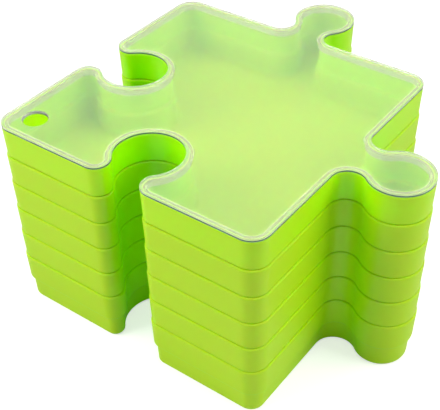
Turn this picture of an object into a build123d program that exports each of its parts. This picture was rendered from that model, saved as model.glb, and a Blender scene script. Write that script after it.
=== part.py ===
from build123d import *
import cmath
import math
import os

# Stack of jigsaw-piece-shaped sorting trays with a clear lid, in millimetres, +Z up.
# The origin is on the table, under the centre of the square body, tabs left out.
# Tabs point to +X and +Y, and sockets are open to -X and -Y.

# Plan outline
BODY_SIDE = 190.0          # square body, without the tabs
CORNER_RADIUS = 12.0       # the four outer corners
TAB_RADIUS = 20.1          # round head of a tab
TAB_REACH = 29.8           # head centre, out from the body's side
NECK_FILLET = 10.1         # curve between a tab and the body's side
INTERLOCK_CLEARANCE = 1.0  # gap all round when a tab sits in a neighbour's socket
CHORD_GAP = 0.28           # round stretches are chords, this near to the true arc

# Tray section
TRAY_COUNT = 6
PITCH = 20.0               # height that each tray adds to the stack
WALL = 2.0
FLOOR = 2.0
DRAFT_ANGLE = 2.0          # every upright wall leans in by this, from its top down
BOTTOM_BEVEL = 2.0         # lowest edge of the foot
NEST_CLEARANCE = 0.4       # foot, or lid rib, to the inside of the rim around it
LEDGE_CLEARANCE = 0.7      # foot to the inner ledge of the tray below

# Lid
LID_THICKNESS = 2.0
RIB_HEIGHT = 4.0           # locating rib under the lid
RIB_WIDTH = 1.3
FINGER_HOLE_RADIUS = 7.3
FINGER_HOLE_BEVEL = 1.1    # upper edge of the hole, eased for the fingertip
FINGER_HOLE_INSET = 17.8   # hole centre, in from both socket sides

HALF_SIDE = BODY_SIDE / 2
SOCKET_RADIUS = TAB_RADIUS + INTERLOCK_CLEARANCE
MOUTH_FILLET = NECK_FILLET - INTERLOCK_CLEARANCE
FOOT_HEIGHT = PITCH - FLOOR - LEDGE_CLEARANCE
TRAY_HEIGHT = FOOT_HEIGHT + PITCH
NEST_INSET = WALL + NEST_CLEARANCE
STACK_TOP = FOOT_HEIGHT + TRAY_COUNT * PITCH


def arc(centre, radius, offset, start, sweep):
    """Points along an arc in the plane x + yj, angles in radians, radius moved by an offset.

    How many there are follows from the radius alone, so that every offset has as many.
    """
    count = math.ceil(abs(sweep) / (2 * math.acos(1 - CHORD_GAP / radius)))
    return [
        centre + cmath.rect(radius + offset, start + sweep * share / count)
        for share in range(count + 1)
    ]


def side(inset, outward):
    """Points of the +Y side from +X to -X, with a tab (outward 1) or a socket (outward -1).

    It ends with the corner. The arc centres are the same for every inset, so that all the
    walls drawn from it are parallel.
    """
    head = TAB_RADIUS if outward > 0 else SOCKET_RADIUS
    fillet = NECK_FILLET if outward > 0 else MOUTH_FILLET
    rise = TAB_REACH - fillet
    spread = math.sqrt((fillet + head) ** 2 - rise**2)
    lean = math.atan2(rise, spread)
    fillet_y = (HALF_SIDE + outward * fillet) * 1j
    head_y = (HALF_SIDE + outward * TAB_REACH) * 1j
    corner_at = HALF_SIDE - CORNER_RADIUS
    quarter = math.pi / 2
    turn = -outward * (quarter + lean)
    grow = outward * inset
    return [
        *arc(spread + fillet_y, fillet, grow, -outward * quarter, turn)[:-1],
        *arc(head_y, head, -grow, -outward * lean, -2 * turn)[:-1],
        *arc(-spread + fillet_y, fillet, grow, outward * lean, turn),
        *arc(-corner_at + corner_at * 1j, CORNER_RADIUS, -inset, quarter, quarter),
    ]


def outline(inset, height):
    """Points of the whole jigsaw outline, moved in by an inset, at a height."""
    points = []
    for turn, outward in enumerate((1, -1, -1, 1)):
        points += [point * 1j**turn for point in side(inset, outward)]
    return [(point.real, point.imag, height) for point in points]


def drafted_block(low, low_inset, high, high_inset):
    """Solid between two heights, whose outline goes from one inset to the other.

    Both outlines have parallel chords, so a flat wall fits between each two.
    """
    below = outline(low_inset, low)
    above = outline(high_inset, high)
    walls = [
        Face(Wire.make_polygon([below[i - 1], below[i], above[i], above[i - 1]]))
        for i in range(len(below))
    ]
    floor, roof = (Face(Wire.make_polygon(points)) for points in (below, above))
    return Solid(Shell([floor, *walls, roof]))


def draft(drop):
    """How far a wall has moved in at a drop below its top."""
    return drop * math.tan(math.radians(DRAFT_ANGLE))


def tapered_block(low, high, top_inset):
    """Solid between two heights with drafted sides."""
    return drafted_block(low, top_inset + draft(high - low), high, top_inset)


def make_tray():
    """One tray, its underside at height 0: an even wall, stepped in at the shoulder."""
    ledge = FOOT_HEIGHT + FLOOR
    bevel_inset = NEST_INSET + draft(FOOT_HEIGHT - BOTTOM_BEVEL)
    skirt = tapered_block(FOOT_HEIGHT, TRAY_HEIGHT, 0)
    foot = tapered_block(BOTTOM_BEVEL, FOOT_HEIGHT, NEST_INSET)
    bevel = drafted_block(0, bevel_inset + BOTTOM_BEVEL, BOTTOM_BEVEL, bevel_inset)
    wide_hollow = tapered_block(ledge, TRAY_HEIGHT, WALL)
    deep_hollow = tapered_block(FLOOR, ledge, WALL + NEST_INSET - draft(FLOOR))
    return skirt + foot + bevel - wide_hollow - deep_hollow


def make_lid():
    """Flat clear plate of the lid at its height on the stack, with the finger hole."""
    lid_top = STACK_TOP + LID_THICKNESS
    plate = drafted_block(STACK_TOP, 0, lid_top, 0)
    hole_at = FINGER_HOLE_INSET - HALF_SIDE
    hole = Pos(hole_at, hole_at, STACK_TOP) * Cylinder(FINGER_HOLE_RADIUS, 3 * LID_THICKNESS)
    bevel = Pos(hole_at, hole_at, lid_top - FINGER_HOLE_BEVEL / 2) * Cone(
        FINGER_HOLE_RADIUS, FINGER_HOLE_RADIUS + FINGER_HOLE_BEVEL, FINGER_HOLE_BEVEL
    )
    return plate - hole - bevel


def make_lid_rib():
    """Locating rib of the lid, a closed wall under the plate that fits inside the top rim."""
    rib_foot = STACK_TOP - RIB_HEIGHT
    rib_inside = NEST_INSET + RIB_WIDTH
    rib = tapered_block(rib_foot, STACK_TOP, NEST_INSET)
    return rib - drafted_block(rib_foot, rib_inside, STACK_TOP, rib_inside)


os.makedirs("parts", exist_ok=True)
tray = make_tray()
for number in range(TRAY_COUNT):
    export_step(Pos(0, 0, number * PITCH) * tray, f"parts/tray_{number + 1}.step")
export_step(make_lid(), "parts/lid.step")
export_step(make_lid_rib(), "parts/lid_rib.step")
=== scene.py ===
"""Looks of a stack of jigsaw-shaped sorting trays under a clear lid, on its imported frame."""
import math

import bpy
import numpy as np
from bpy.props import FloatProperty, FloatVectorProperty, PointerProperty
from bpy.types import Operator, Panel, PropertyGroup
from mathutils import Matrix, Vector
from mathutils.geometry import tessellate_polygon


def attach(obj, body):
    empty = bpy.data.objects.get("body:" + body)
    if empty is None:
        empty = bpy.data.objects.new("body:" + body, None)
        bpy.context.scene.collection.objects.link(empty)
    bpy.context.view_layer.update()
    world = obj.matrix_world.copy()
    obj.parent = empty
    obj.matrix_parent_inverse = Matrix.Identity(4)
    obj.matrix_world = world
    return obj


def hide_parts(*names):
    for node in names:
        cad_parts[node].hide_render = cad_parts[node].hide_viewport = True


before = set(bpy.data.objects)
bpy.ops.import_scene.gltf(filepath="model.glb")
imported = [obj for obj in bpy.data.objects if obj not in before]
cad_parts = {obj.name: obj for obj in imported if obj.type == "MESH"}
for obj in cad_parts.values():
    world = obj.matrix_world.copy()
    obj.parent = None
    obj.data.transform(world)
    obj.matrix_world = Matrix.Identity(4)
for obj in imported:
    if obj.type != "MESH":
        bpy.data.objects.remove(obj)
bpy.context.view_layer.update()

bl_info = {
    "name": "Jigsaw tray stack",
    "version": (1, 0, 0),
    "blender": (4, 5, 0),
    "location": "3D View > Sidebar > Trays",
    "description": "Builds a stack of jigsaw-shaped sorting trays with a clear lid",
    "category": "Add Mesh",
}

MM = 0.001

# Sizes that the solids have, in metres
HALF_SIDE = 95.0 * MM
CORNER_RADIUS = 12.0 * MM
TAB_RADIUS = 20.1 * MM
TAB_REACH = 29.8 * MM
NECK_FILLET = 10.1 * MM
INTERLOCK_CLEARANCE = 1.0 * MM
PITCH = 20.0 * MM
WALL = 2.0 * MM
TRAY_FLOOR = 2.0 * MM
FOOT_HEIGHT = 17.3 * MM
TRAY_HEIGHT = FOOT_HEIGHT + PITCH
TRAY_COUNT = 6
NEST_INSET = 2.4 * MM
DRAFT = math.tan(math.radians(2.0))
STACK_TOP = FOOT_HEIGHT + TRAY_COUNT * PITCH
LID_THICKNESS = 2.0 * MM
RIB_HEIGHT = 4.0 * MM
RIB_WIDTH = 1.3 * MM
HOLE_RADIUS = 7.3 * MM
HOLE_AT = -77.2 * MM

# How finely the curves are stepped, and the flat strip inside each closing face
ARC_STEP = math.radians(4.0)
STRAIGHT_STEP = 5.0 * MM
ROUND_STEPS = 6
HOLE_STEPS = 96
CLOSING_STRIP = 4.0 * MM

# Values of the attribute shade on the trays, and where their colours sit on its ramp. The ramp
# paints
# light and shade: a lighter lime inside, a deeper green in hollows, a dark shadow under each skirt
INSIDE, OUTSIDE, HOLLOW_SHADE, SEAM_SHADOW = 0.0, 0.25, 0.75, 1.0

# Values of the attribute edge, which paints shade on the lid's edge, at the foot and at the top of
# the lid's outer wall
EDGE_DARK, EDGE_CLEAR = 3.0, -1.0

PLASTIC_IOR = 1.49

# Stage, in metres: half the floor's width, how far out the floor's lift starts and ends
# to grow, and each lamp's place and width
FLOOR_HALF = 4.0
LIFT_START, LIFT_END = 0.35, 1.0
LAMPS = {
    "key": ((0.0, 0.1, 1.3), 0.9),
    "fill right": ((1.0, 0.38, 0.75), 0.8),
    "fill left": ((-0.68, -0.84, 0.75), 0.8),
}
LAMP_TARGET = (0.0, 0.0, 0.07)
CAMERA_TARGET = (5.525 * MM, 3.780 * MM, 57.0 * MM)
CAMERA_SHIFT = (-0.0223, 0.0007)


# ---------------------------------------------------------------- settings

def length(name, description, default):
    """A distance in metres that a user may change."""
    return FloatProperty(name=name, description=description, default=default,
                         subtype="DISTANCE", unit="LENGTH", precision=5)


def share(name, description, default):
    """A value from 0 to 1."""
    return FloatProperty(name=name, description=description, default=default,
                         min=0.0, max=1.0, subtype="FACTOR")


def colour(name, description, default):
    """A linear colour."""
    return FloatVectorProperty(name=name, description=description, default=default,
                               size=3, min=0.0, max=1.0, subtype="COLOR")


class JT_TraySettings(PropertyGroup):
    """Sizes and finish of the lime trays."""

    rim_rounding: length("Rim rounding", "Radius along the outer edge of a rim", 1.3 * MM)
    lip_rounding: length("Lip rounding", "Radius along the inner edge of a rim", 0.35 * MM)
    skirt_rounding: length("Skirt rounding", "Radius of the lowest edge of a skirt", 0.9 * MM)
    foot_rounding: length("Foot rounding", "Radius of the lowest edge of a tray", 3.0 * MM)
    floor_fillet: length("Floor fillet", "Radius between inner wall and floor", 2.0 * MM)
    ledge_rounding: length("Ledge rounding", "Radius of the step inside a tray", 0.6 * MM)
    rim_gap: length("Rim gap", "Air between a rim and what stands on it", 0.04 * MM)
    body: colour("Colour", "Lime of the moulded plastic", (0.49, 0.775, 0.004))
    # Painted light: a lighter, greener copy of the body lime for the inside of the trays
    inner: colour("Inner colour", "Lime of the inner walls and floor", (0.59, 0.92, 0.01))
    # Painted shade: the lime turned a deeper green in the hollows of the outline
    deep: colour("Deep colour", "Green that the plastic shows in its hollows", (0.39, 0.90, 0.0))
    # Painted shadow: the dark green under the lowest edge of each skirt
    seam: colour("Seam colour", "Shade under the lowest edge of a skirt", (0.21, 0.56, 0.0))
    gloss: share("Roughness", "Mean roughness of the satin surface", 0.36)
    glow: share("Milkiness", "Share of the light that enters the plastic", 1.0)
    glow_depth: length("Light depth", "How deep the light goes into the plastic", 2.9 * MM)


class JT_LidSettings(PropertyGroup):
    """Sizes and finish of the clear lid."""

    edge_rounding: length("Edge rounding", "Radius along the edges of the plate", 0.35 * MM)
    hole_rounding: length("Hole rounding", "Radius along the upper edge of the hole", 1.3 * MM)
    border_width: length("Border width", "Width of the paler border", 4.4 * MM)
    border_step: length("Border step", "Depth of the panel below the border", 0.2 * MM)
    rib_rounding: length("Rib rounding", "Radius along the foot of the rib", 0.4 * MM)
    tint: colour("Colour", "Colour of the clear plastic", (0.84, 0.85, 0.84))
    # Painted shade: the dark that the clear edge shows from outside, blended into the base colour
    painted_edge_shade: colour("Edge colour", "Colour that the plate's edge shows from outside",
                      (0.07, 0.16, 0.16))
    # Painted light: border and rib are paler, milkier copies of the same clear plastic, set by
    # this colour and the two clearness values below
    border_rib_painted_light: colour("Border colour", "Colour of the border and rib", (0.96, 0.98, 0.80))
    clear: share("Clearness", "Share of the light that passes each panel surface", 0.95)
    border_clear: share("Border clearness", "Share that passes each border surface", 0.86)
    rib_clear: share("Rib clearness", "Share that passes each surface of the rib", 0.62)
    passing: colour("Passing light", "Share of the lamps' light that passes each surface",
                    (0.64, 0.63, 0.64))
    gloss: share("Roughness", "Mean roughness of the clear plastic", 0.14)


class JT_StageSettings(PropertyGroup):
    """Camera, lamps and floor."""

    azimuth: FloatProperty(name="Azimuth", description="Camera's turn from the -Y side",
                           default=math.radians(36.256), subtype="ANGLE", unit="ROTATION")
    elevation: FloatProperty(name="Elevation", description="Camera's angle above the floor",
                             default=math.radians(39.395), subtype="ANGLE", unit="ROTATION")
    roll: FloatProperty(name="Roll", description="Camera's turn about its own line of sight",
                        default=math.radians(-0.81), subtype="ANGLE", unit="ROTATION")
    distance: length("Distance", "Camera to the point it looks at", 635.6 * MM)
    lens: FloatProperty(name="Lens", description="Focal length on a 36 mm wide sensor",
                        default=78.76, subtype="DISTANCE_CAMERA", unit="CAMERA")
    key_power: FloatProperty(name="Key lamp", description="Power of the lamp above",
                             default=3.3, subtype="POWER", unit="POWER")
    left_power: FloatProperty(name="Left lamp", description="Power of the lamp at the left",
                              default=11.8, subtype="POWER", unit="POWER")
    right_power: FloatProperty(name="Right lamp", description="Power of the lamp at the right",
                               default=10.0, subtype="POWER", unit="POWER")
    sky: FloatProperty(name="Sky", description="Strength of the even light all round",
                       default=0.28)
    floor: colour("Floor colour", "Pale floor", (0.66, 0.66, 0.66))
    near_lift: share("Near lift", "Light that the camera sees added to the floor nearby", 0.62)
    far_lift: share("Far lift", "Light that the camera sees added to the floor far off", 0.95)


# ---------------------------------------------------------------- shapes

def arc_run(centre, radius, start, sweep, bulge):
    """Points along an arc, and the unit directions that lead into the plastic.

    A point is the centre plus the radius times the unit ray at an evenly stepped angle.
    The inward direction is that ray times bulge, 1 on hollow and -1 on round stretches.
    """
    steps = math.ceil(abs(sweep) / ARC_STEP)
    ray = np.exp(1j * (start + sweep * np.linspace(0.0, 1.0, steps + 1)))
    return centre + radius * ray, bulge * ray


def outline_side(outward):
    """The +Y side from +X to -X with its corner, as points and inward directions.

    Two fillets and a round head between them are arcs that touch each other, whose
    centres are a triangle of known sides. Outward is 1 for a tab and -1 for a socket.
    """
    spare = INTERLOCK_CLEARANCE if outward < 0 else 0.0
    head, fillet = TAB_RADIUS + spare, NECK_FILLET - spare
    rise = TAB_REACH - fillet
    spread = math.sqrt((fillet + head) ** 2 - rise**2)
    lean = math.atan2(rise, spread)
    fillet_y = (HALF_SIDE + outward * fillet) * 1j
    head_y = (HALF_SIDE + outward * TAB_REACH) * 1j
    corner = HALF_SIDE - CORNER_RADIUS
    quarter = math.pi / 2
    turn = -outward * (quarter + lean)
    runs = [
        arc_run(spread + fillet_y, fillet, -outward * quarter, turn, outward),
        arc_run(head_y, head, -outward * lean, -2 * turn, -outward),
        arc_run(-spread + fillet_y, fillet, outward * lean, turn, outward),
        arc_run(-corner + corner * 1j, CORNER_RADIUS, quarter, quarter, -1),
    ]
    points = np.concatenate([runs[0][0][:-1], runs[1][0][:-1], runs[2][0], runs[3][0]])
    inward = np.concatenate([runs[0][1][:-1], runs[1][1][:-1], runs[2][1], runs[3][1]])
    return points, inward


def tray_outline():
    """The whole jigsaw outline: four sides, each turned a quarter further than the last."""
    sides = [(1j**turn, outline_side(outward)) for turn, outward in enumerate((1, -1, -1, 1))]
    return (np.concatenate([turn * points for turn, (points, _) in sides]),
            np.concatenate([turn * inward for turn, (_, inward) in sides]))


def finely_stepped(points, inward):
    """The outline with every straight stretch cut into even steps, for masks that change on it."""
    run = np.roll(points, -1) - points
    count = np.ceil(np.abs(run) / STRAIGHT_STEP).astype(int)
    index = np.repeat(np.arange(len(points)), count)
    part = (np.arange(count.sum()) - (np.cumsum(count) - count)[index]) / count[index]
    return points[index] + part * run[index], inward[index]


def hollow_share(points, inward):
    """How far each point of the outline lies in a hollow, from 0 to 1.

    From just off every point a fan of rays goes out. A ray p + t d meets the stretch
    from a to a + s e where t = (a - p) x e / (d x e) is above 0 and s = (a - p) x d /
    (d x e) lies from 0 to 1. The share is that of the rays that meet the outline again,
    each weighted by its cosine, and it is then evened out over its neighbours.
    """
    def cross(u, v):
        return u.real * v.imag - u.imag * v.real

    fan = np.radians(np.linspace(-75.0, 75.0, 15))
    off_wall = 0.05 * MM
    ray = -inward[:, None] * np.exp(1j * fan)
    stretch = np.roll(points, -1) - points
    gap = points - (points - off_wall * inward)[:, None]
    facing = cross(ray[:, :, None], stretch)
    facing = np.where(np.abs(facing) < 1e-12, 1e-12, facing)
    along = cross(gap, stretch)[:, None] / facing
    across = cross(gap[:, None], ray[:, :, None]) / facing
    met = ((along > 0) & (across >= 0) & (across <= 1)).any(axis=2)
    met_share = met @ np.cos(fan) / np.cos(fan).sum()
    neighbours = range(-3, 4)
    return sum(np.roll(met_share, shift) for shift in neighbours) / len(neighbours)


def rounded_section(corners, radii, lead):
    """Section line through its corners, each rounded, as insets and heights.

    At a corner with unit directions a in and b out, the arc starts the radius times
    tan(half the turn) before it, and its centre lies the radius to the side of a. A
    point a short lead before and after the arc keeps the shading of the flats even.
    """
    corners = np.array([inset + height * 1j for inset, height in corners])
    run = np.diff(corners)
    run /= np.abs(run)
    a, b = run[:-1, None], run[1:, None]
    turn = np.angle(b / a)
    radius = np.array(radii)[:, None]
    reach = radius * np.tan(np.abs(turn) / 2)
    corner = corners[1:-1, None]
    centre = corner - a * reach + 1j * np.sign(turn) * a * radius
    arc = centre + (corner - a * reach - centre) * np.exp(
        1j * turn * np.linspace(0.0, 1.0, ROUND_STEPS + 1))
    rows = np.concatenate([corner - a * (reach + lead), arc, corner + b * (reach + lead)], axis=1)
    line = np.concatenate([corners[:1], rows.ravel(), corners[-1:]])
    return line.real, line.imag


def carried_surface(outline, section):
    """Vertices and quads of a section carried round a closed outline.

    A vertex is the outline's point plus its inward direction times the section's inset,
    at the section's height. Rows follow the section, columns the outline.
    """
    (points, inward), (insets, heights) = outline, section
    plan = points + inward * insets[:, None]
    level = np.broadcast_to(heights[:, None], plan.shape)
    vertices = np.stack([plan.real, plan.imag, level], -1)
    rows, columns = plan.shape
    index = np.arange(rows * columns).reshape(rows, columns)
    after = np.roll(index, -1, axis=1)
    quads = np.stack([index[:-1], after[:-1], after[1:], index[1:]], -1).reshape(-1, 4)
    return vertices.reshape(-1, 3), quads, index


def make_piece(name, vertices, faces, materials, body, nodes):
    """A smooth piece at the origin that rides on a body in place of its CAD nodes."""
    mesh = bpy.data.meshes.new(name)
    mesh.from_pydata(vertices.tolist(), [], faces)
    mesh.polygons.foreach_set("use_smooth", np.ones(len(mesh.polygons), bool))
    mesh.validate()
    mesh.update()
    for material in materials:
        mesh.materials.append(material)
    piece = bpy.data.objects.new(name, mesh)
    bpy.context.scene.collection.objects.link(piece)
    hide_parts(*nodes)
    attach(piece, body)
    return piece


def tray_section(settings, bottom):
    """Section of a tray: foot, shoulder, skirt, rim, inner wall, ledge, deep wall and floor."""
    ledge = FOOT_HEIGHT + TRAY_FLOOR
    top = TRAY_HEIGHT - settings.rim_gap
    deep = NEST_INSET + WALL - DRAFT * TRAY_FLOOR
    foot = NEST_INSET + DRAFT * FOOT_HEIGHT
    floor = deep + DRAFT * (ledge - TRAY_FLOOR)
    corners = [
        (foot + CLOSING_STRIP, 0.0),
        (foot, 0.0),
        (NEST_INSET, FOOT_HEIGHT),
        (DRAFT * PITCH, FOOT_HEIGHT),
        (0.0, top),
        (WALL, top),
        (WALL + DRAFT * (TRAY_HEIGHT - ledge), ledge),
        (deep, ledge),
        (floor, TRAY_FLOOR),
        (floor + CLOSING_STRIP, TRAY_FLOOR),
    ]
    shoulder_rounding = 0.3 * MM
    radii = [settings.foot_rounding, shoulder_rounding, settings.skirt_rounding,
             settings.rim_rounding, settings.lip_rounding, settings.ledge_rounding,
             settings.ledge_rounding, settings.floor_fillet]
    insets, heights = rounded_section(corners, radii, lead=0.15 * MM)
    return insets, heights + bottom


def tray_shade(settings, outline, heights):
    """Values of a tray's attribute shade, heights counted from the tray's own underside. It paints
    light
    and shade into the lime: painted light inside, painted shade in hollows, a painted shadow under
    the skirt.

    It is INSIDE from the rim inward. Outside it goes from OUTSIDE to HOLLOW_SHADE with the
    point's hollow share h, as shade = OUTSIDE + (HOLLOW_SHADE - OUTSIDE) h, and rises to
    SEAM_SHADOW under the skirt and on the lowest part of its rounding.
    """
    outside = (np.arange(len(heights)) < heights.argmax())[:, None]
    heights = heights[:, None]
    # Painted shade: outside, the lime goes toward the deeper green as the hollow share grows
    shade = OUTSIDE + (HOLLOW_SHADE - OUTSIDE) * hollow_share(*outline)
    # Painted shadow: the shade rises to the dark skirt value under the skirt and its lowest
    # rounding
    fade = 0.35 * settings.skirt_rounding
    skirt_shadow = np.clip((FOOT_HEIGHT + settings.skirt_rounding - heights) / fade, 0, 1)
    under = np.where(heights > FOOT_HEIGHT - 0.01 * MM, skirt_shadow, 0.0)
    return np.where(outside, shade + (SEAM_SHADOW - shade) * under, INSIDE)


def add_attribute(piece, name, values):
    """Store one value per vertex for a material to read."""
    attribute = piece.data.attributes.new(name, "FLOAT", "POINT")
    attribute.data.foreach_set("value", values.ravel())


def build_tray(number, settings, material):
    """One tray: the section carried round the outline, closed by its underside and floor."""
    bottom = (number - 1) * PITCH
    section = tray_section(settings, bottom)
    outline = finely_stepped(*tray_outline())
    vertices, quads, index = carried_surface(outline, section)
    faces = quads.tolist() + [index[0][::-1].tolist(), index[-1].tolist()]
    name = f"tray_{number}"
    piece = make_piece(f"{name}_moulding", vertices, faces, [material], name,
                       [name])
    add_attribute(piece, "shade", tray_shade(settings, outline, section[1] - bottom))


def plate_with_hole(vertices, outer, inner, up):
    """Triangles of a flat face between an outer ring and a hole's ring, turned up or down."""
    rings = np.concatenate([outer, inner])
    loops = [[Vector(v) for v in vertices[outer]], [Vector(v) for v in vertices[inner]]]
    triangles = rings[np.array(tessellate_polygon(loops))]
    a, b, c = (vertices[triangles[:, corner], :2] for corner in range(3))
    area = (b - a)[:, 0] * (c - a)[:, 1] - (b - a)[:, 1] * (c - a)[:, 0]
    wrong = (area > 0) != up
    triangles[wrong] = triangles[wrong, ::-1]
    return triangles


def lid_sections(settings):
    """Sections of the lid's edge with its rib and stepped top, and of the hole's wall.

    The edge's section starts under the panel and ends on it, the hole's the other way
    round. Both have a flat strip at each end, where the closing faces begin.
    """
    top, foot = STACK_TOP + LID_THICKNESS, STACK_TOP - RIB_HEIGHT
    panel = top - settings.border_step
    rib_inside = NEST_INSET + RIB_WIDTH
    rib_outside = NEST_INSET + DRAFT * RIB_HEIGHT
    edge, rib, small = settings.edge_rounding, settings.rib_rounding, 0.2 * MM
    border = settings.border_width
    step_foot = border + 0.3 * MM
    rim = rounded_section(
        [(rib_inside + 1.5 * MM, STACK_TOP), (rib_inside, STACK_TOP), (rib_inside, foot),
         (rib_outside, foot), (NEST_INSET, STACK_TOP), (0.0, STACK_TOP), (0.0, top),
         (border, top), (step_foot, panel), (border + 2.0 * MM, panel)],
        [rib, rib, rib, small, small, edge, small, small], lead=0.02 * MM)
    bore = rounded_section(
        [(-2.5 * MM, panel), (0.0, panel), (0.0, STACK_TOP), (-1.0 * MM, STACK_TOP)],
        [settings.hole_rounding, edge], lead=0.1 * MM)
    return rim, bore


def build_lid(settings, materials):
    """The lid: edge and rib carried round the outline, the hole's wall, and two flat faces."""
    rim, bore = lid_sections(settings)
    ray = np.exp(1j * np.linspace(0.0, 2 * np.pi, HOLE_STEPS + 1)[:-1])
    centre = HOLE_AT * (1 + 1j)
    rim_vertices, rim_quads, rim_index = carried_surface(tray_outline(), rim)
    bore_vertices, bore_quads, bore_index = carried_surface(
        (centre + HOLE_RADIUS * ray, -ray), bore)
    bore_quads, bore_index = bore_quads + len(rim_vertices), bore_index + len(rim_vertices)
    vertices = np.concatenate([rim_vertices, bore_vertices])
    upper = plate_with_hole(vertices, rim_index[-1], bore_index[0], True)
    lower = plate_with_hole(vertices, rim_index[0], bore_index[-1], False)
    faces = [face for part in (rim_quads, bore_quads, upper, lower) for face in part.tolist()]
    piece = make_piece("lid_moulding", vertices, faces, materials, "lid",
                       ["lid", "lid_rib"])
    mark_lid(piece, settings, rim, bore, rim_index.shape[1], bore_index.shape[1])


def mark_lid(piece, settings, rim, bore, rim_columns, bore_columns):
    """Give the lid's faces their materials, and its vertices the attribute edge.

    The panel takes the first material, the border the second and the rib the third; the
    border's and rib's are paler, milkier copies of the clear plastic, as painted light. Up
    the plate's outer wall, with r from 0 to 1, the attribute is EDGE_DARK + (EDGE_CLEAR -
    EDGE_DARK) r, which is dark in its lower half once it is clamped to 0 and 1: painted
    shade on the plate's edge. The hole's wall has a half of it, painted shade fading out over
    its upper edge, and all the rest has 0.
    """
    insets, heights = rim
    on_border = insets <= settings.border_width
    on_rib = heights < STACK_TOP - 0.1 * MM
    row_slots = np.where(on_rib[:-1] | on_rib[1:], 2, on_border[:-1] & on_border[1:])
    slots = np.zeros(len(piece.data.polygons), np.int32)
    slots[:len(row_slots) * rim_columns] = row_slots.repeat(rim_columns)
    piece.data.polygons.foreach_set("material_index", slots)
    wall_depth, hole_fade, hole_shade = 0.4 * MM, 0.6 * MM, 0.5
    # Painted shade: the dark edge colour on the outer wall's lower half and, at half strength, on
    # the hole's wall
    rise = np.clip((heights - STACK_TOP) / LID_THICKNESS, 0, 1)
    outer = np.where(insets < wall_depth, EDGE_DARK + (EDGE_CLEAR - EDGE_DARK) * rise, 0.0)
    wall = hole_shade * np.clip(1 + bore[0] / hole_fade, 0, 1)
    add_attribute(piece, "edge",
                  np.concatenate([outer.repeat(rim_columns), wall.repeat(bore_columns)]))


# ---------------------------------------------------------------- finishes

def socket_value(node, name, value):
    """Set a plain value on a node's own socket."""
    node.inputs[name].default_value = value


def feed(links, socket, value):
    """Link a node's output to a socket, or set a plain value on the socket itself."""
    if isinstance(value, bpy.types.NodeSocket):
        links.new(value, socket)
    else:
        socket.default_value = value


def moulding_grain():
    """Node group: the faint unevenness that every moulded surface has.

    Tone is a slow cloud about 1, Shine the roughness with a finer cloud round its mean,
    and Height a fine grain on slow sink marks, which a Bump node scales.
    """
    group = bpy.data.node_groups.new("moulding grain", "ShaderNodeTree")
    for name, default in (("Roughness", 0.35), ("Roughness Spread", 0.06), ("Tone Spread", 0.04),
                          ("Grain", 0.3)):
        entry = group.interface.new_socket(name, in_out="INPUT", socket_type="NodeSocketFloat")
        entry.default_value = default
    for name in ("Tone", "Shine", "Height"):
        group.interface.new_socket(name, in_out="OUTPUT", socket_type="NodeSocketFloat")
    nodes, links = group.nodes, group.links
    given, out = nodes.new("NodeGroupInput"), nodes.new("NodeGroupOutput")
    place = nodes.new("ShaderNodeTexCoord")

    def cloud(scale, detail):
        noise = nodes.new("ShaderNodeTexNoise")
        socket_value(noise, "Scale", scale)
        socket_value(noise, "Detail", detail)
        links.new(place.outputs["Object"], noise.inputs["Vector"])
        return noise.outputs["Fac"]

    def math_node(kind, *values):
        node = nodes.new("ShaderNodeMath")
        node.operation = kind
        for socket, value in zip(node.inputs, values):
            feed(links, socket, value)
        return node.outputs[0]

    slow, middle, fine = cloud(14.0, 2.0), cloud(160.0, 3.0), cloud(1500.0, 2.0)
    tone = math_node("MULTIPLY_ADD", math_node("SUBTRACT", slow, 0.5),
                     given.outputs["Tone Spread"], 1.0)
    shine = math_node("MULTIPLY_ADD", math_node("SUBTRACT", middle, 0.5),
                      given.outputs["Roughness Spread"], given.outputs["Roughness"])
    sink_marks = math_node("MULTIPLY", slow, 4.0)
    height = math_node("MULTIPLY_ADD", fine, given.outputs["Grain"], sink_marks)
    for value, name in ((tone, "Tone"), (shine, "Shine"), (height, "Height")):
        links.new(value, out.inputs[name])
    return group


def new_material(name, grain):
    """A material with a Principled shader, its grain group and a Bump node wired up."""
    material = bpy.data.materials.new(name)
    material.use_nodes = True
    nodes, links = material.node_tree.nodes, material.node_tree.links
    shader = nodes["Principled BSDF"]
    group = nodes.new("ShaderNodeGroup")
    group.node_tree = grain
    bump = nodes.new("ShaderNodeBump")
    socket_value(bump, "Distance", 0.02 * MM)
    links.new(group.outputs["Shine"], shader.inputs["Roughness"])
    links.new(group.outputs["Height"], bump.inputs["Height"])
    links.new(bump.outputs["Normal"], shader.inputs["Normal"])
    return material, shader, group


def toned(material, group, plain):
    """A colour, given as numbers or as a node's output, times the grain's tone."""
    nodes, links = material.node_tree.nodes, material.node_tree.links
    scale = nodes.new("ShaderNodeVectorMath")
    scale.operation = "SCALE"
    feed(links, scale.inputs[0], plain)
    links.new(group.outputs["Tone"], scale.inputs["Scale"])
    return scale.outputs[0]


def mix_colours(material, mask, first, second, shader):
    """Blend a toned colour with a plain one by a mask, for the shader's base colour."""
    nodes, links = material.node_tree.nodes, material.node_tree.links
    blend = nodes.new("ShaderNodeMix")
    blend.data_type = "RGBA"
    factor, one, other = (s for s in blend.inputs if s.enabled)
    links.new(mask, factor)
    links.new(first, one)
    other.default_value = (*second, 1.0)
    result = next(s for s in blend.outputs if s.enabled)
    links.new(result, shader.inputs["Base Color"])


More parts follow.
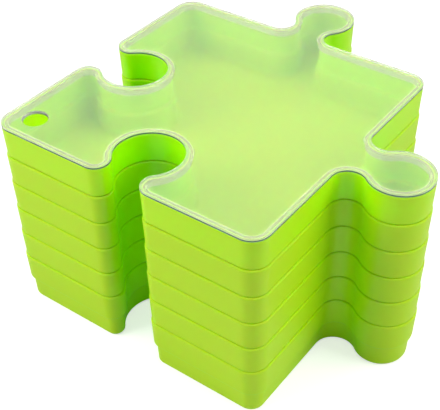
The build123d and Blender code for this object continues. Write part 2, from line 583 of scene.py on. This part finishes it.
def lime_plastic(settings, grain):
    """Satin lime plastic that light goes a little way into, in four shades on one ramp: the body
    lime, a lighter lime inside as painted light, a deeper green in hollows as painted shade, and a
    painted shadow under each skirt.
    """
    material, shader, group = new_material("lime plastic", grain)
    socket_value(group, "Roughness", settings.gloss)
    socket_value(group, "Grain", 0.35)
    nodes, links = material.node_tree.nodes, material.node_tree.links
    # Painted light and shade: the attribute shade picks the lighter inside lime, the body lime,
    # the deeper green in hollows and the dark shadow under each skirt
    mask, ramp = nodes.new("ShaderNodeAttribute"), nodes.new("ShaderNodeValToRGB")
    mask.attribute_name = "shade"
    stops = ramp.color_ramp.elements
    stops[0].color, stops[1].color = (*settings.inner, 1.0), (*settings.seam, 1.0)
    for place, plain in ((OUTSIDE, settings.body), (HOLLOW_SHADE, settings.deep)):
        stops.new(place).color = (*plain, 1.0)
    links.new(mask.outputs["Fac"], ramp.inputs["Fac"])
    links.new(toned(material, group, ramp.outputs["Color"]), shader.inputs["Base Color"])
    socket_value(shader, "IOR", PLASTIC_IOR)
    socket_value(shader, "Subsurface Weight", settings.glow)
    socket_value(shader, "Subsurface Radius", (0.5, 1.0, 0.1))
    socket_value(shader, "Subsurface Scale", settings.glow_depth)
    socket_value(shader, "Specular IOR Level", 0.4)
    return material


def clear_plastic(name, clearness, tint, settings, grain):
    """Clear, slightly hazy plastic that lets lamps through, with a darker edge outside that is
    painted shade.
    """
    material, shader, group = new_material(name, grain)
    socket_value(group, "Roughness", settings.gloss)
    socket_value(group, "Roughness Spread", 0.04)
    socket_value(group, "Tone Spread", 0.02)
    socket_value(group, "Grain", 0.1)
    nodes, links = material.node_tree.nodes, material.node_tree.links
    # Painted shade: the attribute edge mixes the dark edge colour into the base colour, seen from
    # outside only
    mask, outside, face = (nodes.new(kind) for kind in (
        "ShaderNodeAttribute", "ShaderNodeNewGeometry", "ShaderNodeMath"))
    mask.attribute_name = "edge"
    face.operation = "MULTIPLY_ADD"
    face.inputs[1].default_value = -EDGE_DARK  # none is left when seen from within
    face.use_clamp = True
    links.new(outside.outputs["Backfacing"], face.inputs[0])
    links.new(mask.outputs["Fac"], face.inputs[2])
    mix_colours(material, face.outputs[0], toned(material, group, tint),
                settings.painted_edge_shade, shader)
    socket_value(shader, "IOR", PLASTIC_IOR)
    socket_value(shader, "Transmission Weight", clearness)
    path, passing = nodes.new("ShaderNodeLightPath"), nodes.new("ShaderNodeBsdfTransparent")
    passing.inputs["Color"].default_value = (*settings.passing, 1.0)
    mix, out = nodes.new("ShaderNodeMixShader"), nodes["Material Output"]
    links.new(path.outputs["Is Shadow Ray"], mix.inputs["Fac"])
    links.new(shader.outputs[0], mix.inputs[1])
    links.new(passing.outputs[0], mix.inputs[2])
    links.new(mix.outputs[0], out.inputs["Surface"])
    return material


def floor_paint(settings):
    """Pale matt floor that shows white to the camera wherever no shadow falls.

    The lift is light that only the camera sees. It grows outward, where the lamps fade.
    """
    material = bpy.data.materials.new("pale floor")
    material.use_nodes = True
    nodes, links = material.node_tree.nodes, material.node_tree.links
    shader = nodes["Principled BSDF"]
    socket_value(shader, "Base Color", (*settings.floor, 1.0))
    socket_value(shader, "Roughness", 0.9)
    socket_value(shader, "Specular IOR Level", 0.1)
    path, lift, add = (nodes.new(kind) for kind in (
        "ShaderNodeLightPath", "ShaderNodeEmission", "ShaderNodeAddShader"))
    place, away, grow, scale = (nodes.new(kind) for kind in (
        "ShaderNodeTexCoord", "ShaderNodeVectorMath", "ShaderNodeMapRange", "ShaderNodeMath"))
    away.operation, scale.operation = "LENGTH", "MULTIPLY"
    for name, value in (("From Min", LIFT_START), ("From Max", LIFT_END),
                        ("To Min", settings.near_lift), ("To Max", settings.far_lift)):
        socket_value(grow, name, value)
    links.new(place.outputs["Object"], away.inputs[0])
    links.new(away.outputs["Value"], grow.inputs["Value"])
    links.new(grow.outputs[0], scale.inputs[1])
    links.new(path.outputs["Is Camera Ray"], scale.inputs[0])
    links.new(scale.outputs[0], lift.inputs["Strength"])
    links.new(shader.outputs[0], add.inputs[0])
    links.new(lift.outputs[0], add.inputs[1])
    links.new(add.outputs[0], nodes["Material Output"].inputs["Surface"])
    return material


# ---------------------------------------------------------------- stage

def sky_light(strength):
    """Even light all round, which looks white where the camera, gloss or glass sees it."""
    world = bpy.data.worlds.new("studio")
    bpy.context.scene.world = world
    world.use_nodes = True
    nodes, links = world.node_tree.nodes, world.node_tree.links
    path, sky = nodes.new("ShaderNodeLightPath"), nodes["Background"]
    sky.inputs["Color"].default_value = (1.0, 1.0, 1.0, 1.0)
    seen = path.outputs["Is Camera Ray"]
    for name in ("Is Glossy Ray", "Is Transmission Ray"):
        both = nodes.new("ShaderNodeMath")
        both.operation = "MAXIMUM"
        links.new(seen, both.inputs[0])
        links.new(path.outputs[name], both.inputs[1])
        seen = both.outputs[0]
    blend = nodes.new("ShaderNodeMapRange")
    blend.inputs["To Min"].default_value = strength
    blend.inputs["To Max"].default_value = 1.0
    links.new(seen, blend.inputs["Value"])
    links.new(blend.outputs[0], sky.inputs["Strength"])


def look_matrix(place, target, roll=0.0):
    """Frame whose -Z looks from a place at a target, its X level with the floor, then rolled."""
    back = (place - target).normalized()
    right = Vector((0, 0, 1)).cross(back).normalized()
    up = back.cross(right)
    across = math.cos(roll) * right + math.sin(roll) * up
    over = -math.sin(roll) * right + math.cos(roll) * up
    matrix = Matrix((across, over, back)).transposed().to_4x4()
    matrix.translation = place
    return matrix


def add_camera(settings):
    """Camera at the photograph's angle."""
    data = bpy.data.cameras.new("camera")
    data.lens = settings.lens
    data.sensor_width = 36.0
    data.shift_x, data.shift_y = CAMERA_SHIFT
    camera = bpy.data.objects.new("camera", data)
    bpy.context.scene.collection.objects.link(camera)
    level = math.cos(settings.elevation)
    back = Vector((math.sin(settings.azimuth) * level, -math.cos(settings.azimuth) * level,
                   math.sin(settings.elevation)))
    target = Vector(CAMERA_TARGET)
    camera.matrix_world = look_matrix(target + settings.distance * back, target, settings.roll)
    bpy.context.scene.camera = camera


def add_lamp(name, place, size, power):
    """Square soft lamp that looks at the middle of the stack and shows in no reflection."""
    data = bpy.data.lights.new(name, "AREA")
    data.shape, data.size, data.energy = "SQUARE", size, power
    lamp = bpy.data.objects.new(name, data)
    lamp.visible_glossy = False
    bpy.context.scene.collection.objects.link(lamp)
    lamp.matrix_world = look_matrix(Vector(place), Vector(LAMP_TARGET))


def add_floor(material):
    """Square floor under the stack."""
    corner = FLOOR_HALF * np.array([-1 - 1j, 1 - 1j, 1 + 1j, -1 + 1j])
    vertices = np.stack([corner.real, corner.imag, np.full(4, -0.02 * MM)], -1)
    mesh = bpy.data.meshes.new("floor")
    mesh.from_pydata(vertices.tolist(), [], [(0, 1, 2, 3)])
    mesh.materials.append(material)
    floor = bpy.data.objects.new("floor", mesh)
    bpy.context.scene.collection.objects.link(floor)


# ---------------------------------------------------------------- operators

def shared_grain():
    """The grain group, made once."""
    return bpy.data.node_groups.get("moulding grain") or moulding_grain()


class JT_OT_stage(Operator):
    """Add the camera, the lamps and the pale floor"""

    bl_idname = "jigsaw_trays.stage"
    bl_label = "Add Stage"

    def execute(self, context):
        settings = context.scene.jigsaw_stage
        add_camera(settings)
        sky_light(settings.sky)
        powers = (settings.key_power, settings.right_power, settings.left_power)
        for (name, (place, size)), power in zip(LAMPS.items(), powers):
            add_lamp(name, place, size, power)
        add_floor(floor_paint(settings))
        context.scene.view_settings.view_transform = "Standard"
        return {"FINISHED"}


class JT_OT_trays(Operator):
    """Mould the six trays of the stack"""

    bl_idname = "jigsaw_trays.trays"
    bl_label = "Mould Trays"

    def execute(self, context):
        settings = context.scene.jigsaw_tray
        material = lime_plastic(settings, shared_grain())
        for number in range(1, TRAY_COUNT + 1):
            build_tray(number, settings, material)
        return {"FINISHED"}


class JT_OT_lid(Operator):
    """Mould the clear lid with its rib and finger hole"""

    bl_idname = "jigsaw_trays.lid"
    bl_label = "Mould Lid"

    def execute(self, context):
        settings = context.scene.jigsaw_lid
        grain = shared_grain()
        panel = clear_plastic("clear plastic", settings.clear, settings.tint, settings, grain)
        # Painted light: the border and rib take paler, milkier copies of the clear plastic
        border = clear_plastic("clear plastic border", settings.border_clear,
                               settings.border_rib_painted_light, settings, grain)
        rib = clear_plastic("clear plastic rib", settings.rib_clear,
                            settings.border_rib_painted_light, settings, grain)
        build_lid(settings, (panel, border, rib))
        return {"FINISHED"}


class JT_PT_stack(Panel):
    """Lists the pieces of the stack and their settings."""

    bl_label = "Jigsaw Trays"
    bl_space_type = "VIEW_3D"
    bl_region_type = "UI"
    bl_category = "Trays"

    def draw(self, context):
        scene = context.scene
        for operator, settings in ((JT_OT_stage, scene.jigsaw_stage),
                                   (JT_OT_trays, scene.jigsaw_tray),
                                   (JT_OT_lid, scene.jigsaw_lid)):
            box = self.layout.box()
            box.operator(operator.bl_idname)
            for name in settings.__annotations__:
                box.prop(settings, name)


SETTINGS = {"jigsaw_stage": JT_StageSettings, "jigsaw_tray": JT_TraySettings,
            "jigsaw_lid": JT_LidSettings}
CLASSES = (*SETTINGS.values(), JT_OT_stage, JT_OT_trays, JT_OT_lid, JT_PT_stack)


def register():
    """Register the classes and hang the settings on the scene."""
    for kind in CLASSES:
        bpy.utils.register_class(kind)
    for name, kind in SETTINGS.items():
        setattr(bpy.types.Scene, name, PointerProperty(type=kind))


def unregister():
    """Undo what register did."""
    for name in SETTINGS:
        delattr(bpy.types.Scene, name)
    for kind in reversed(CLASSES):
        bpy.utils.unregister_class(kind)


def main():
    """Build everything."""
    register()
    bpy.ops.jigsaw_trays.stage()
    bpy.ops.jigsaw_trays.trays()
    bpy.ops.jigsaw_trays.lid()


if __name__ == "__main__":
    main()
